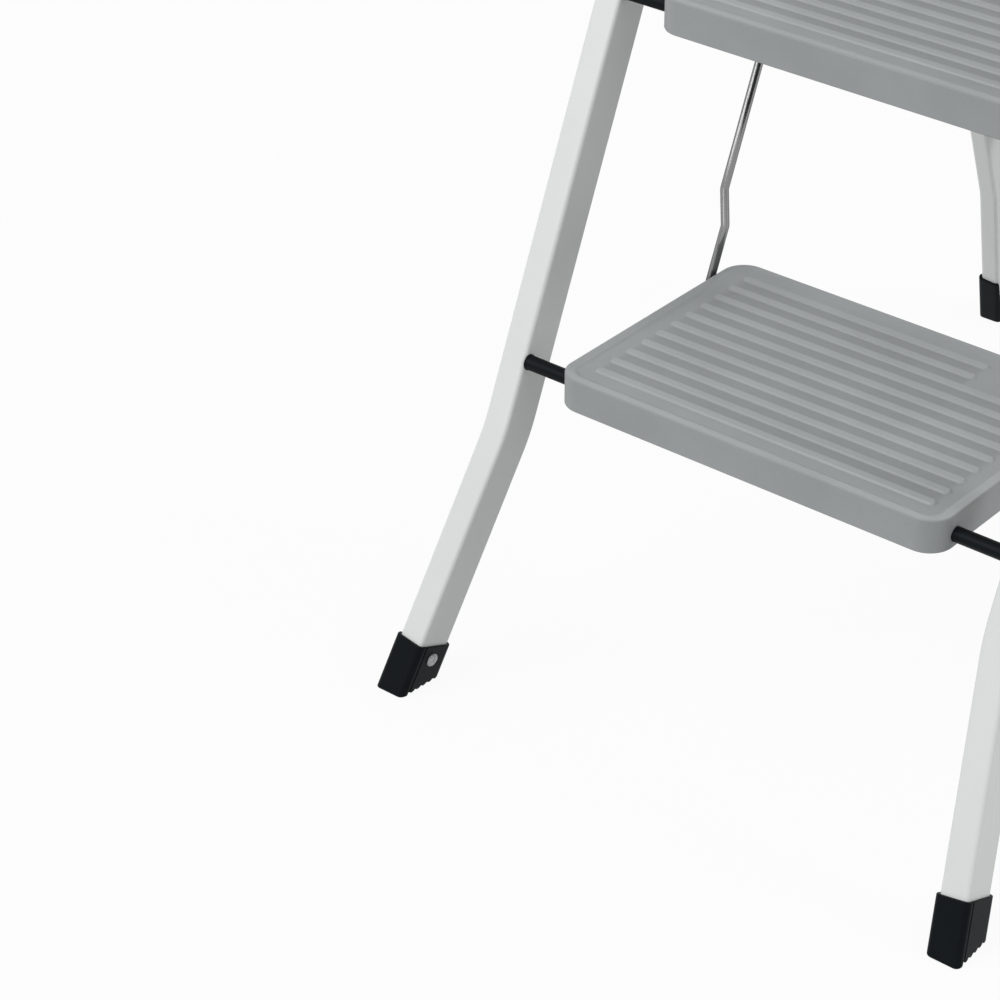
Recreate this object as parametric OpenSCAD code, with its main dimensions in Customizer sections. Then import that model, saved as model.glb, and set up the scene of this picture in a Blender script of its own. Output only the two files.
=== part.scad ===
// Folding step stool: a leaning front frame with a handrail hoop, a rear frame hinged behind it,
// and three moulded treads that fold up between the front legs, kept level by wire links.
// Origin on the floor at the middle of the footprint; +Z up, -Y the climbing side, +X the right.

/* [Treads] */
// Width of every tread
tread_w = 300; // [270:1:320]
// Depth of the two lower treads
tread_d = 208; // [195:1:220]
// How far the platform's top plate reaches behind its clips
behind_clips = 7; // [1:0.5:20]
// Height of a tread's skirt
tread_h = 24; // [22:0.5:26]
// Radius of a tread's upright corners
tread_corner_r = 18; // [14:1:26]
// Wall thickness of a tread's skirt
skirt_t = 3; // [2.5:0.25:4]
// Thickness of a tread's top plate
plate_t = 3; // [2:0.25:4]
// Width of the raised rim round a tread's top
rim_w = 4.5; // [3.5:0.5:9]
// Depth of the recessed floor below the rim
recess_d = 1.6; // [1:0.1:2.5]
// Thickness of the stiffening ribs under a tread
web_t = 2.4; // [1.5:0.1:4]
// How far the stiffening ribs stop above the skirt's edge
web_rise = 2; // [1:0.5:4]
// Wall of the bearing bosses under a tread
boss_t = 2.2; // [1.5:0.1:3]

/* [Tread surface] */
// Number of grip ribs on a lower tread
grip_count = 11; // [6:1:11]
// Distance between neighbouring grip ribs
grip_pitch = 16.5; // [12:0.1:16.8]
// Width of a grip rib
grip_w = 7.8; // [4:0.1:10]
// Height of a grip rib above the recessed floor
grip_h = 1.3; // [0.6:0.1:2.4]
// Distance from the front of a tread to its first grip rib
grip_front = 24.2; // [18:0.1:26]
// Distance from the side of a tread to the ends of its grip ribs
grip_side = 17.4; // [12:0.1:24]
// Number of rear grip ribs cut short beside the plain area
short_grips = 2; // [1:1:4]
// Length of the plain area at the rear right of a tread
plain_l = 66; // [40:1:120]

/* [Steps] */
// Height of the first tread's top above the floor
first_step_h = 246.5; // [235:0.5:260]
// Height from one tread to the next
step_rise = 234.5; // [226:0.5:238]
// Depth of the front axle below a tread's top
axle_drop = 14.7; // [13.5:0.1:15.5]
// Distance of the front axle behind a tread's front face
axle_back = 20.8; // [17:0.1:24]
// Distance from the front axle to the rear pin
link_span = 154; // [140:1:160]

/* [Front frame] */
// Width of the front tube, seen from the front
front_tube_w = 20.5; // [18:0.5:24]
// Depth of the front tube
front_tube_d = 31; // [26:0.5:34]
// Corner radius of the tubes
tube_r = 3; // [2:0.1:4]
// Wall thickness of the tubes
tube_t = 1.2; // [1:0.1:1.6]
// Clear width between the upright parts of the front legs
front_clear_w = 376; // [366:1:400]
// Backward lean of the front frame, in degrees
front_lean = 22.9; // [21:0.1:24]
// Height of the hoop's top, measured along the legs
hoop_len = 1190; // [1120:5:1250]
// Bend radius of the hoop's corners
hoop_r = 85; // [60:5:120]
// Outward splay of the front feet, in degrees
front_splay = 8.1; // [3:0.1:9]
// Height of the front splay bend, measured along the legs
front_bend_v = 202; // [180:1:225]

/* [Rear frame] */
// Width of the rear tube, seen from the front
rear_tube_w = 16; // [14:0.5:20]
// Depth of the rear tube
rear_tube_d = 30; // [26:0.5:32]
// Side gap between the pin caps and the rear legs they pass
rear_side_gap = 0.5; // [0.3:0.1:4]
// Forward lean of the rear frame, in degrees
rear_lean = 20.4; // [20:0.1:22]
// Outward splay of the rear feet, in degrees
rear_splay = 6.4; // [3:0.1:9]
// Height of the rear splay bend, measured along the legs
rear_bend_v = 148; // [130:1:190]
// How far the rear tube runs on above the hinge
rear_top_l = 10.5; // [9:0.5:13]
// Radius of the two round crossbars
bar_r = 9; // [8:0.5:10]
// Wall thickness of the crossbars
bar_t = 1.5; // [1:0.1:2]
// Height of the lower crossbar above the floor
brace_h = 215; // [200:1:225]
// Gap between the platform's skirt and the bar below it
bar_gap = 0.4; // [0.3:0.1:1]

/* [Axles and spacers] */
// Radius of the steel axles and rear pins
axle_r = 3; // [2.5:0.1:3]
// Distance of the axles behind the front legs' front face
axle_inset = 4.3; // [4.3:0.1:6]
// Outer radius of the spacer sleeves
sleeve_r = 5.2; // [4.5:0.1:6]
// How far a sleeve reaches into its tread
sleeve_in = 9; // [7:0.5:14]
// Thickness of the flange at a sleeve's outer end
flange_t = 1.6; // [1:0.1:3]
// How far the flange stands out from the sleeve
flange_out = 0.5; // [0.3:0.1:1.5]
// Radial running clearance of the bearings
run_fit = 0.05; // [0.03:0.01:0.09]

/* [Links] */
// Radius of the link wire
wire_r = 3.05; // [2.4:0.05:3.3]
// Side gap between the parts on a rear pin
pin_gap = 0.5; // [0.3:0.1:1]
// Gap between the two link eyes on one pin
eye_gap = 2.3; // [0.5:0.1:3]
// Height of the jog's lower bend above the link's lower pin
jog_v = 49.5; // [30:0.5:90]
// Length of the jog
jog_l = 24; // [20:1:40]
// Length of a pin cap
cap_l = 5; // [3.5:0.5:7]
// Radius of a pin cap
cap_r = 5.8; // [5:0.1:7]
// Thickness of a pin cap's closed end
cap_end_t = 1.5; // [1:0.1:2]

/* [Hinges] */
// Height of the hinge pins above the floor
hinge_h = 861; // [850:1:870]
// Gap between a hinge collar and the top corner of the rear leg beside it
hinge_gap = 0.5; // [0.3:0.1:4]
// Radius of the hinge pins
hinge_pin_r = 4; // [3:0.1:5]
// Thickness of a hinge ear
ear_t = 5.5; // [4:0.5:7]
// Side gap between an ear and the rear leg
ear_gap = 0.7; // [0.4:0.1:1.2]
// Radius of an ear's rounded end
ear_r = 15; // [12:0.5:16]
// Height of the hinge collar along the front leg
collar_l = 70; // [50:1:90]
// Wall thickness of the hinge collar
collar_t = 3; // [2:0.5:4]
// Thickness of the rivet heads
head_t = 1.5; // [1:0.1:2.5]
// How far a hinge pin's heads stand out round the pin
head_lip = 3; // [2:0.5:4]

/* [Feet] */
// Wall thickness of a foot cap
foot_t = 2.3; // [1.5:0.1:3]
// Height of a front foot cap's top, measured along the leg
front_foot_v = 40.5; // [38:0.5:55]
// Height of a rear foot cap's top, measured along the leg
rear_foot_v = 47.5; // [38:0.5:55]
// Distance from the floor to the end of the tubes, measured along the leg
foot_pocket_v = 21; // [19:0.5:25]
// Distance between the grip grooves in a sole
sole_pitch = 5.8; // [4.5:0.1:8]
// Depth of the grip grooves in a sole
sole_groove = 1.6; // [0.8:0.1:2]
// Radius of a foot rivet's head
foot_rivet_r = 5; // [4:0.1:6]
// Height of a foot rivet above the floor, measured along the leg
foot_rivet_v = 28.5; // [28:0.5:33]
// Number of grip grooves across a sole
sole_count = 5; // [3:2:5]

/* [Platform clips] */
// Length of a platform clip, along the bar
clip_l = 34; // [24:1:44]
// Distance of the clips from the middle of the platform
clip_x = 96; // [80:1:110]
// Wall of a clip beside its saddle
clip_wall = 5; // [3:0.5:6]
// Clearance between a clip's saddle and the bar
clip_gap = 0.1; // [0.05:0.05:0.3]
// Angle that a saddle spans on each side of its top
saddle_deg = 58; // [40:1:60]
// Radius of the clip screws
screw_r = 1.75; // [1.5:0.05:2]
// Length of the clip screws
screw_l = 8; // [6:0.5:9]
// Length of a screw inside its clip
screw_in_clip = 2; // [1:0.1:2]
// Distance from a clip's end to its screw
screw_inset = 5; // [4:0.5:8]

/* [Rivets and plugs] */
// Radius of the rivet shanks
rivet_shank_r = 2; // [1.5:0.1:2.5]
// How far a rivet's shank reaches into its tube
rivet_grip = 4; // [3:0.5:6]
// Distance from a hinge collar's end to its rivet
collar_rivet_inset = 10; // [8:0.5:12]
// Length of the plug inside a rear tube's upper end
plug_l = 34; // [33:1:45]
// Thickness of the plug's cap on the tube's end
plug_cap_t = 2; // [1:0.5:3]

/* [Hidden] */
$fn = 64;
small = 0.01;
over = 1;

// Hinge pins' distance behind the front legs' front face: the rear legs' top corners clear the collars
rear_mid = rear_tube_d / 2;
hinge_back = front_tube_d + collar_t + hinge_gap + norm([rear_mid, rear_top_l + plug_cap_t]);

// Hinge point, measured along each frame's own legs from the floor
front_hinge_v = (hinge_h + hinge_back * sin(front_lean)) / cos(front_lean);
rear_hinge_v = (hinge_h - rear_mid * sin(rear_lean)) / cos(rear_lean);

// Footprint: distance between the two frames' front faces at the floor, then the overall depth
frame_gap = hinge_back * cos(front_lean) + front_hinge_v * sin(front_lean)
          - rear_mid * cos(rear_lean) + rear_hinge_v * sin(rear_lean);
toe = foot_t / cos(front_lean);
heel = (rear_tube_d + foot_t) / cos(rear_lean);
front_y = toe - (toe + frame_gap + heel) / 2;
rear_y = front_y + frame_gap;
hinge_y = rear_y + rear_mid * cos(rear_lean) - rear_hinge_v * sin(rear_lean);

// Tread tops and axle places
step_tops = [for (i = [0 : 2]) first_step_h + i * step_rise];
function axle_z(i) = step_tops[i] - axle_drop;
function axle_v(i) = (axle_z(i) + axle_inset * sin(front_lean)) / cos(front_lean);
function axle_y(i) = front_y + axle_inset * cos(front_lean) + axle_v(i) * sin(front_lean);

// Sideways places
leg_in = front_clear_w / 2;
leg_x = leg_in + front_tube_w / 2;
tread_side = tread_w / 2;
eye_pitch = 2 * wire_r + eye_gap;
eye_in_x = tread_side + pin_gap + wire_r;
eye_out_x = eye_in_x + eye_pitch;
eye_r = axle_r + run_fit + wire_r;

// Outer end of the parts on a rear pin that carries one or two link eyes
function stack_end(eyes) = eye_in_x + (eyes - 1) * eye_pitch + wire_r + pin_gap;

// Rear legs, just outside the caps of the longer pins
rear_in = stack_end(2) + cap_l + rear_side_gap;
rear_x = rear_in + rear_tube_w / 2;

// Link geometry: rear pins lie one step apart, as the axles do
link_dy = axle_y(1) - axle_y(0);
link_l = sqrt(link_dy * link_dy + step_rise * step_rise);
link_tilt = atan2(link_dy, step_rise);

// Crossbars
bar_z = step_tops[2] - tread_h - bar_gap - bar_r;
bar_y = hinge_y + (hinge_h - bar_z) * tan(rear_lean);
bar_from_axle = bar_y - axle_y(2);
clip_d = 2 * (bar_r + clip_gap) * sin(saddle_deg) + 2 * clip_wall;
platform_d = axle_back + bar_from_axle + clip_d / 2 + behind_clips + skirt_t;
brace_y = hinge_y + (hinge_h - brace_h) * tan(rear_lean);

// ---- Shared shapes ----

// Rectangle w wide about x = 0 and d deep from y = 0, with rounded corners
module round_rect(w, d, r) {
    translate([-w / 2, r]) square([w, d - 2 * r]);
    translate([-w / 2 + r, 0]) square([w - 2 * r, d]);
    for (x = [-1, 1], y = [r, d - r])
        translate([x * (w / 2 - r), y]) circle(r);
}

// Cylinder along X from x1 to x2
module x_rod(x1, x2, r) {
    translate([x1, 0, 0]) rotate([0, 90, 0]) cylinder(h = x2 - x1, r = r);
}

// Leaning planes: x across, y behind the legs' front face, z along the legs from the floor
module on_front() {
    translate([0, front_y, 0]) rotate([-front_lean, 0, 0]) children();
}

module on_rear() {
    translate([0, rear_y, 0]) rotate([rear_lean, 0, 0]) children();
}

module at_axle(i) {
    translate([0, axle_y(i), axle_z(i)]) children();
}

module at_rear_pin(i) {
    at_axle(i) translate([0, link_span, 0]) children();
}

// The splayed part of a right-hand leg, slanted outwards below its bend: z = 0 at the bend,
// x = 0 at its middle, and every level section keeps its outline
module on_splay(x, bend_v, splay) {
    translate([x, 0, bend_v])
        multmatrix([[1, 0, -tan(splay), 0], [0, 1, 0, 0], [0, 0, 1, 0]]) children();
}

// Solid of a right-hand leg's outline, from its foot end through the splay bend to height top_v
module leg_solid(x, w, d, r, bend_v, splay, top_v) {
    low = bend_v - foot_pocket_v;
    on_splay(x, bend_v, splay)
        translate([0, 0, -low]) linear_extrude(low) round_rect(w, d, r);
    translate([x, 0, bend_v]) linear_extrude(top_v - bend_v) round_rect(w, d, r);
}

module both_sides() {
    children();
    mirror([1, 0, 0]) children();
}

// ---- Frames ----

// Solid of the front frame's outline, shrunk by t for the tube's inside
module front_solid(t) {
    w = front_tube_w - 2 * t;
    d = front_tube_d - 2 * t;
    r = tube_r - t;
    translate([0, t, 0]) both_sides() {
        leg_solid(leg_x, w, d, r, front_bend_v, front_splay, hoop_len - hoop_r);
        translate([leg_x - hoop_r, 0, hoop_len - hoop_r]) rotate([90, 0, 0])
            rotate_extrude(angle = 90) translate([hoop_r, -d]) round_rect(w, d, r);
        translate([0, 0, hoop_len]) rotate([0, 90, 0])
            linear_extrude(leg_x - hoop_r) round_rect(w, d, r);
    }
}

// Solid of a right-hand rear leg's outline, shrunk by t for the tube's inside
module rear_solid(t) {
    translate([0, t, 0])
        leg_solid(rear_x, rear_tube_w - 2 * t, rear_tube_d - 2 * t, tube_r - t,
                  rear_bend_v, rear_splay, rear_hinge_v + rear_top_l);
}

// Rivet holes of the hinge collars, right-hand side
module bracket_rivet_places() {
    for (dv = [-1, 1])
        translate([leg_in + front_tube_w + collar_t, front_tube_d / 2,
                   front_hinge_v + dv * (collar_l / 2 - collar_rivet_inset)]) children();
}

// Centre of a foot rivet on the inner side of a right-hand foot, x pointing squarely into the leg
module foot_rivet_place(x, w, d, bend_v, splay) {
    drop = bend_v - foot_rivet_v;
    translate([x + drop * tan(splay) - w / 2 - foot_t, d / 2, foot_rivet_v])
        rotate([0, -splay, 0]) children();
}

module front_rivet_place() {
    foot_rivet_place(leg_x, front_tube_w, front_tube_d, front_bend_v, front_splay) children();
}

module rear_rivet_place() {
    foot_rivet_place(rear_x, rear_tube_w, rear_tube_d, rear_bend_v, rear_splay) children();
}

module front_frame() {
    color("gainsboro") on_front() difference() {
        front_solid(0);
        front_solid(tube_t);
        for (i = [0 : 2])
            translate([0, axle_inset, axle_v(i)])
                x_rod(-leg_x - front_tube_w, leg_x + front_tube_w, axle_r + run_fit);
        both_sides() bracket_rivet_places() x_rod(-rivet_grip - collar_t, 0, rivet_shank_r);
        both_sides() front_rivet_place() x_rod(0, rivet_grip + foot_t, rivet_shank_r);
    }
}

// Right-hand rear leg; the left one is its mirror
module rear_leg() {
    on_rear() difference() {
        rear_solid(0);
        rear_solid(tube_t);
        translate([0, rear_mid, rear_hinge_v])
            x_rod(rear_in - over, rear_in + rear_tube_w + over, hinge_pin_r + run_fit);
        rear_rivet_place() x_rod(0, rivet_grip + foot_t, rivet_shank_r);
    }
}

module rear_leg_right() { color("gainsboro") rear_leg(); }
module rear_leg_left() { color("gainsboro") mirror([1, 0, 0]) rear_leg(); }

module crossbar(y, z) {
    translate([0, y, z]) difference() {
        x_rod(-rear_in, rear_in, bar_r);
        x_rod(-rear_in - over, rear_in + over, bar_r - bar_t);
    }
}

module support_bar() { color("gainsboro") crossbar(bar_y, bar_z); }
module rear_brace() { color("gainsboro") crossbar(brace_y, brace_h); }

// ---- Treads, drawn about their front axle ----

under_z = axle_drop - recess_d - plate_t;
skirt_z = axle_drop - tread_h;
web_z = skirt_z + web_rise;
boss_r = sleeve_r + boss_t;

// Stiffening webs under a tread of depth d, with room for the axle and the rear pin
module webs(d) {
    for (x = [-1, 1], f = [1 / 6, 1 / 2, 5 / 6])
        translate([x * f * tread_side - web_t / 2, -axle_back + skirt_t - small, web_z])
            cube([web_t, d - 2 * skirt_t + 2 * small, under_z - web_z + small]);
    for (f = [1 / 4, 1 / 2, 3 / 4])
        translate([-tread_side + skirt_t - small, -axle_back + f * d - web_t / 2, web_z])
            cube([tread_w - 2 * skirt_t + 2 * small, web_t, under_z - web_z + small]);
}

// One grip rib with round ends, from x1 to x2
module grip(x1, x2) {
    linear_extrude(grip_h + small) {
        translate([x1 + grip_w / 2, -grip_w / 2]) square([x2 - x1 - grip_w, grip_w]);
        for (x = [x1 + grip_w / 2, x2 - grip_w / 2]) translate([x, 0]) circle(grip_w / 2);
    }
}

module grips(count) {
    end_x = tread_side - grip_side;
    for (i = [0 : count - 1])
        translate([0, grip_front - axle_back + i * grip_pitch, axle_drop - recess_d - small])
            grip(-end_x, i < count - short_grips ? end_x : end_x - plain_l);
}

module tread(d, count) {
    inner_r = tread_corner_r - skirt_t;
    difference() {
        union() {
            difference() {
                translate([0, -axle_back, skirt_z])
                    linear_extrude(tread_h) round_rect(tread_w, d, tread_corner_r);
                translate([0, skirt_t - axle_back, skirt_z - over])
                    linear_extrude(under_z - skirt_z + over)
                        round_rect(tread_w - 2 * skirt_t, d - 2 * skirt_t, inner_r);
                translate([0, rim_w - axle_back, axle_drop - recess_d])
                    linear_extrude(recess_d + over)
                        round_rect(tread_w - 2 * rim_w, d - 2 * rim_w, tread_corner_r - rim_w);
            }
            webs(d);
            // bearing bosses for the sleeves and the rear pin
            for (s = [-1, 1]) {
                boss_l = sleeve_in + boss_t;
                x1 = s > 0 ? tread_side - boss_l : small - tread_side;
                intersection() {
                    union() {
                        x_rod(x1, x1 + boss_l - small, boss_r);
                        translate([0, link_span, 0]) x_rod(x1, x1 + boss_l - small, boss_r);
                    }
                    translate([-tread_side, -axle_back, web_z])
                        cube([tread_w, d, tread_h - web_rise - recess_d - small]);
                }
            }
        }
        for (s = [-1, 1]) {
            x1 = s > 0 ? tread_side - sleeve_in : -tread_side - over;
            x_rod(x1, x1 + sleeve_in + over, sleeve_r + run_fit);
        }
        x_rod(-tread_side, tread_side, axle_r + run_fit);
        translate([0, link_span, 0]) x_rod(-tread_side - over, tread_side + over, axle_r);
    }
    grips(count);
}

module lower_tread() { color("darkgray") at_axle(0) tread(tread_d, grip_count); }
module middle_tread() { color("darkgray") at_axle(1) tread(tread_d, grip_count); }

// The platform is a deeper tread, with solid pads above its clips
platform_grips = grip_count + floor((platform_d - tread_d) / grip_pitch);
screw_x = clip_l / 2 - screw_inset;

module clip_places() {
    at_axle(2) for (s = [-1, 1])
        translate([s * clip_x, bar_from_axle, 0]) children();
}

module screw_places() {
    clip_places() for (x = [-1, 1]) translate([x * screw_x, 0, 0]) children();
}

module platform() {
    color("darkgray") difference() {
        union() {
            at_axle(2) tread(platform_d, platform_grips);
            clip_places() translate([-clip_l / 2, -clip_d / 2, web_z])
                cube([clip_l, clip_d, under_z - web_z + small]);
        }
        screw_places() translate([0, 0, web_z - screw_in_clip]) cylinder(h = screw_l, r = screw_r);
        at_rear_pin(2) x_rod(-tread_side, tread_side, axle_r);
    }
}

// ---- Axles, sleeves, rear pins ----

module axle(i) {
    color("silver") at_axle(i) x_rod(-leg_in - front_tube_w, leg_in + front_tube_w, axle_r);
}

module lower_axle() { axle(0); }
module middle_axle() { axle(1); }
module platform_axle() { axle(2); }

module spacer(i, side) {
    color("dimgray") at_axle(i) mirror([side < 0 ? 1 : 0, 0, 0]) difference() {
        union() {
            x_rod(tread_side - sleeve_in + pin_gap, leg_in, sleeve_r);
            x_rod(leg_in - flange_t, leg_in, sleeve_r + flange_out);
        }
        x_rod(0, leg_in + over, axle_r + run_fit);
    }
}

module lower_spacer_left() { spacer(0, -1); }
module lower_spacer_right() { spacer(0, 1); }
module middle_spacer_left() { spacer(1, -1); }
module middle_spacer_right() { spacer(1, 1); }
module platform_spacer_left() { spacer(2, -1); }
module platform_spacer_right() { spacer(2, 1); }

module rear_pin(i, eyes) {
    end_x = stack_end(eyes) + cap_l - cap_end_t;
    color("silver") at_rear_pin(i) x_rod(-end_x, end_x, axle_r);
}

module lower_rear_pin() { rear_pin(0, 1); }
module middle_rear_pin() { rear_pin(1, 2); }
module platform_rear_pin() { rear_pin(2, 2); }

module pin_caps(i, eyes) {
    end_x = stack_end(eyes);
    color("dimgray") at_rear_pin(i) both_sides() difference() {
        x_rod(end_x, end_x + cap_l, cap_r);
        x_rod(end_x - over, end_x + cap_l - cap_end_t, axle_r);
    }
}

module lower_pin_caps() { pin_caps(0, 1); }
module middle_pin_caps() { pin_caps(1, 2); }
module platform_pin_caps() { pin_caps(2, 2); }

// Washers that take the inner eye's place on the platform's rear pin
module platform_pin_washers() {
    color("dimgray") at_rear_pin(2) both_sides() difference() {
        x_rod(tread_side, tread_side + eye_pitch, cap_r);
        x_rod(tread_side - over, tread_side + eye_pitch + over, axle_r);
    }
}

// ---- Wire links, drawn about their lower pin along the link ----

// Wire that rises from point p to point q in the plane of the link, every level section a circle
module wire_bar(p, q) {
    slope = (q[0] - p[0]) / (q[1] - p[1]);
    translate([p[0], 0, p[1]]) multmatrix([[1, 0, slope, 0], [0, 1, 0, 0], [0, 0, 1, 0]])
        cylinder(h = q[1] - p[1], r = wire_r);
}

module link() {
    low = [eye_in_x, 0];
    jog_low = [eye_in_x, jog_v];
    jog_top = [eye_out_x, jog_v + jog_l];
    top = [eye_out_x, link_l];
    difference() {
        union() {
            wire_bar(low, jog_low);
            wire_bar(jog_low, jog_top);
            wire_bar(jog_top, top);
        }
        for (p = [low, top]) translate([p[0], 0, p[1]]) x_rod(-wire_r - over, wire_r + over, eye_r);
    }
    for (p = [low, top]) translate([p[0], 0, p[1]]) eye();
}

module eye() {
    rotate([0, 90, 0]) rotate([0, 0, 90])
        rotate_extrude() translate([eye_r, 0]) circle(wire_r);
}

module link_at(i, side) {
    color("silver") at_rear_pin(i) mirror([side < 0 ? 1 : 0, 0, 0])
        rotate([-link_tilt, 0, 0]) link();
}

module lower_link_left() { link_at(0, -1); }
module lower_link_right() { link_at(0, 1); }
module upper_link_left() { link_at(1, -1); }
module upper_link_right() { link_at(1, 1); }

// ---- Platform clips and their screws ----

saddle_z = bar_z - axle_z(2);
clip_low_z = saddle_z + (bar_r + clip_gap) * cos(saddle_deg);

module clip(side) {
    color("dimgray") at_axle(2) difference() {
        translate([side * clip_x - clip_l / 2, bar_from_axle - clip_d / 2, clip_low_z])
            cube([clip_l, clip_d, web_z - clip_low_z]);
        translate([side * clip_x, bar_from_axle, saddle_z])
            x_rod(-clip_l / 2 - over, clip_l / 2 + over, bar_r + clip_gap);
        for (x = [-1, 1])
            translate([side * clip_x + x * screw_x, bar_from_axle, web_z - screw_l])
                cylinder(h = screw_l + over, r = screw_r);
    }
}

module platform_clip_left() { clip(-1); }
module platform_clip_right() { clip(1); }

module clip_screws() {
    color("silver") screw_places() translate([0, 0, web_z - screw_in_clip])
        cylinder(h = screw_l, r = screw_r);
}

// ---- Hinges ----

ear_in_x = rear_in - ear_gap - ear_t;
ear_out_x = rear_in + rear_tube_w + ear_gap;

module ear(x) {
    translate([x, front_tube_d - over, front_hinge_v - ear_r])
        cube([ear_t, hinge_back - front_tube_d + over, 2 * ear_r]);
    translate([x, hinge_back, front_hinge_v]) x_rod(0, ear_t, ear_r);
}

// Right-hand hinge bracket: a collar round the front leg with two ears behind it
module hinge_bracket() {
    on_front() difference() {
        union() {
            translate([leg_in - collar_t, -collar_t, front_hinge_v - collar_l / 2])
                cube([front_tube_w + 2 * collar_t, front_tube_d + 2 * collar_t, collar_l]);
            translate([ear_in_x, front_tube_d / 2, front_hinge_v - ear_r])
                cube([leg_in - ear_in_x, front_tube_d / 2 + collar_t, 2 * ear_r]);
            ear(ear_in_x);
            ear(ear_out_x);
        }
        translate([leg_x, 0, front_hinge_v - collar_l])
            linear_extrude(2 * collar_l) round_rect(front_tube_w, front_tube_d, tube_r);
        translate([0, hinge_back, front_hinge_v])
            x_rod(ear_in_x - over, ear_out_x + ear_t + over, hinge_pin_r);
        bracket_rivet_places() x_rod(-2 * collar_t, over, rivet_shank_r);
    }
}

module hinge_bracket_right() { color("dimgray") hinge_bracket(); }
module hinge_bracket_left() { color("dimgray") mirror([1, 0, 0]) hinge_bracket(); }

module hinge_pin() {
    head_r = hinge_pin_r + head_lip;
    on_front() translate([0, hinge_back, front_hinge_v]) {
        x_rod(ear_in_x - head_t, ear_in_x, head_r);
        x_rod(ear_in_x - small, ear_out_x + ear_t + small, hinge_pin_r);
        x_rod(ear_out_x + ear_t, ear_out_x + ear_t + head_t, head_r);
    }
}

module hinge_pin_right() { color("silver") hinge_pin(); }
module hinge_pin_left() { color("silver") mirror([1, 0, 0]) hinge_pin(); }

module bracket_rivets() {
    color("silver") on_front() both_sides() bracket_rivet_places() {
        x_rod(-rivet_grip - collar_t, small, rivet_shank_r);
        x_rod(0, head_t, 2 * rivet_shank_r);
    }
}

// Plug in the rear tube's upper end, with the hinge pin's bearing
module rear_plug() {
    gap = 2 * tube_t;
    on_rear() difference() {
        union() {
            translate([rear_x, tube_t, rear_hinge_v + rear_top_l - plug_l]) linear_extrude(plug_l)
                round_rect(rear_tube_w - gap, rear_tube_d - gap, tube_r - tube_t);
            translate([rear_x, 0, rear_hinge_v + rear_top_l]) linear_extrude(plug_cap_t)
                round_rect(rear_tube_w, rear_tube_d, tube_r);
        }
        translate([0, rear_mid, rear_hinge_v])
            x_rod(rear_in - over, rear_in + rear_tube_w + over, hinge_pin_r + run_fit);
    }
}

module rear_plug_right() { color("dimgray") rear_plug(); }
module rear_plug_left() { color("dimgray") mirror([1, 0, 0]) rear_plug(); }

// ---- Feet ----

// Right-hand foot cap, drawn along its splayed leg: open at the top, level grooved sole
module foot_sleeve(x, w, d, bend_v, splay, top_v) {
    difference() {
        on_splay(x, bend_v, splay) translate([0, -foot_t, -bend_v - d])
            linear_extrude(top_v + d + w)
                round_rect(w + 2 * foot_t, d + 2 * foot_t, tube_r + foot_t);
        on_splay(x, bend_v, splay) translate([0, 0, foot_pocket_v - bend_v])
            linear_extrude(top_v + w) round_rect(w, d, tube_r);
        translate([x + (bend_v - top_v) * tan(splay), 0, top_v]) rotate([0, -splay, 0])
            translate([-w, -d, 0]) cube([2 * w, 3 * d, 2 * w]);
    }
}

// Cutter below a right-hand foot whose sole's middle is at y: the floor, and the grip grooves
module sole_cutter(y) {
    half = max(front_foot_v, rear_foot_v);
    translate([leg_x - half, y - half, -2 * half]) cube([3 * half, 2 * half, 2 * half]);
    for (i = [0 : sole_count - 1])
        translate([0, y + (i - (sole_count - 1) / 2) * sole_pitch, 0])
            x_rod(leg_x - half, leg_x + 2 * half, sole_groove);
}

module front_foot() {
    difference() {
        on_front()
            foot_sleeve(leg_x, front_tube_w, front_tube_d, front_bend_v, front_splay, front_foot_v);
        on_front() front_rivet_place() x_rod(-over, foot_t + over, rivet_shank_r);
        sole_cutter(front_y + front_tube_d / 2 / cos(front_lean));
    }
}

module rear_foot() {
    difference() {
        on_rear()
            foot_sleeve(rear_x, rear_tube_w, rear_tube_d, rear_bend_v, rear_splay, rear_foot_v);
        on_rear() rear_rivet_place() x_rod(-over, foot_t + over, rivet_shank_r);
        sole_cutter(rear_y + rear_tube_d / 2 / cos(rear_lean));
    }
}

module front_foot_right() { color("black") front_foot(); }
module front_foot_left() { color("black") mirror([1, 0, 0]) front_foot(); }
module rear_foot_right() { color("black") rear_foot(); }
module rear_foot_left() { color("black") mirror([1, 0, 0]) rear_foot(); }

module foot_rivet() {
    x_rod(-head_t, 0, foot_rivet_r);
    x_rod(-small, foot_t + rivet_grip, rivet_shank_r);
}

module front_foot_rivets() {
    color("silver") both_sides() on_front() front_rivet_place() foot_rivet();
}

module rear_foot_rivets() {
    color("silver") both_sides() on_rear() rear_rivet_place() foot_rivet();
}

front_frame();
rear_leg_left();
rear_leg_right();
support_bar();
rear_brace();
lower_tread();
middle_tread();
platform();
lower_axle();
middle_axle();
platform_axle();
lower_spacer_left();
lower_spacer_right();
middle_spacer_left();
middle_spacer_right();
platform_spacer_left();
platform_spacer_right();
lower_rear_pin();
middle_rear_pin();
platform_rear_pin();
lower_link_left();
lower_link_right();
upper_link_left();
upper_link_right();
lower_pin_caps();
middle_pin_caps();
platform_pin_caps();
platform_pin_washers();
platform_clip_left();
platform_clip_right();
clip_screws();
hinge_bracket_left();
hinge_bracket_right();
hinge_pin_left();
hinge_pin_right();
bracket_rivets();
rear_plug_left();
rear_plug_right();
front_foot_left();
front_foot_right();
rear_foot_left();
rear_foot_right();
front_foot_rivets();
rear_foot_rivets();
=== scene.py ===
import math

import bpy
import bmesh
import numpy as np
from mathutils import Matrix, Vector


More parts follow.
